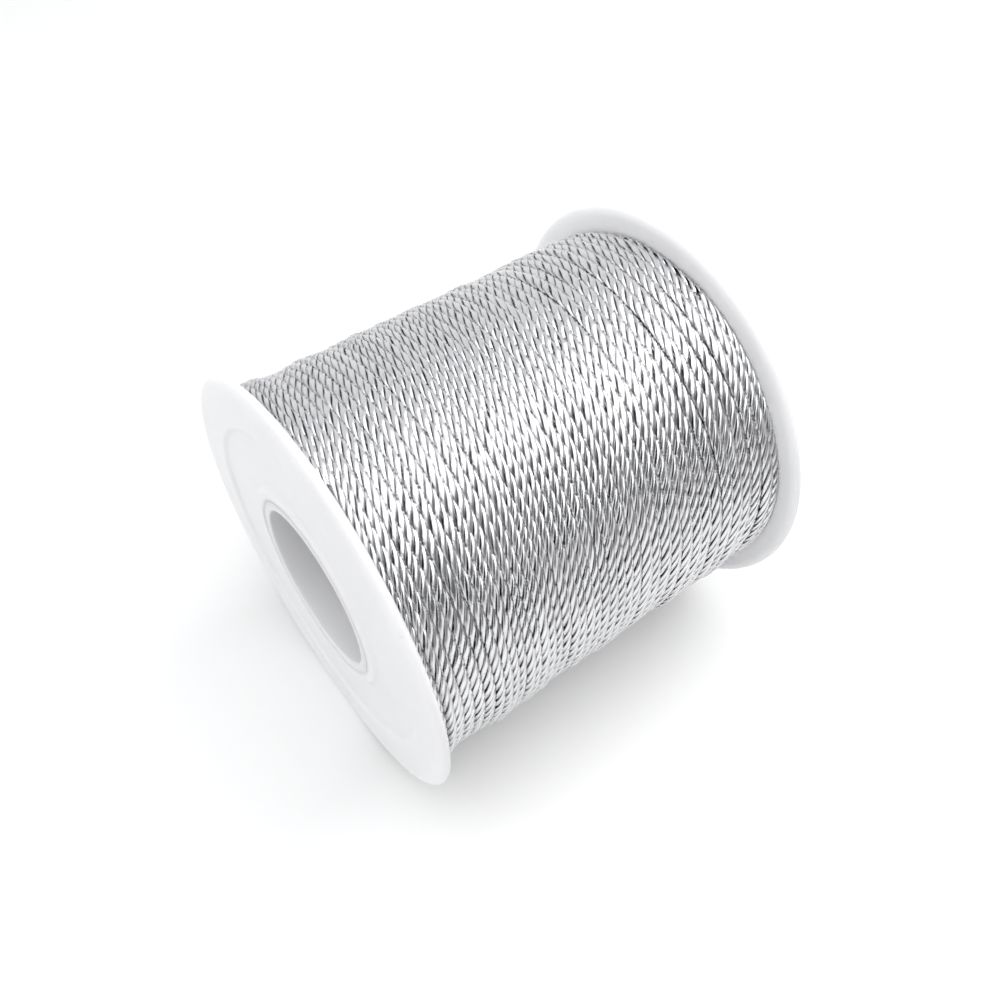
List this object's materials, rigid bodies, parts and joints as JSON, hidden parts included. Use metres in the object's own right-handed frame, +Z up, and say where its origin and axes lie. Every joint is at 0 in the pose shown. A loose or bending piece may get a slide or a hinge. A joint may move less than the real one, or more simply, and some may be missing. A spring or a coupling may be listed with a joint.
{
  "type": "wound cord spool",
  "caption": "Small flanged plastic spool full of twisted silver cord, wound in even turns round a hollow core tube that fits on a spindle.",
  "frame": {"origin": "on the surface that the flanges rest on, under the middle of the spool", "axes": "+X along the spool's axis from the left flange to the right flange, +Z up"},
  "size_m": [0.0494, 0.05, 0.05],
  "materials": {
    "flange": "milky translucent polypropylene, satin",
    "core": "milky translucent polypropylene, satin",
    "cord": "silver metallised yarn, flat plies twisted together"
  },
  "bodies": {
    "root": {"left_flange": "flange", "right_flange": "flange", "core_tube": "core", "cord_winding": "cord"}
  },
  "joints": []
}
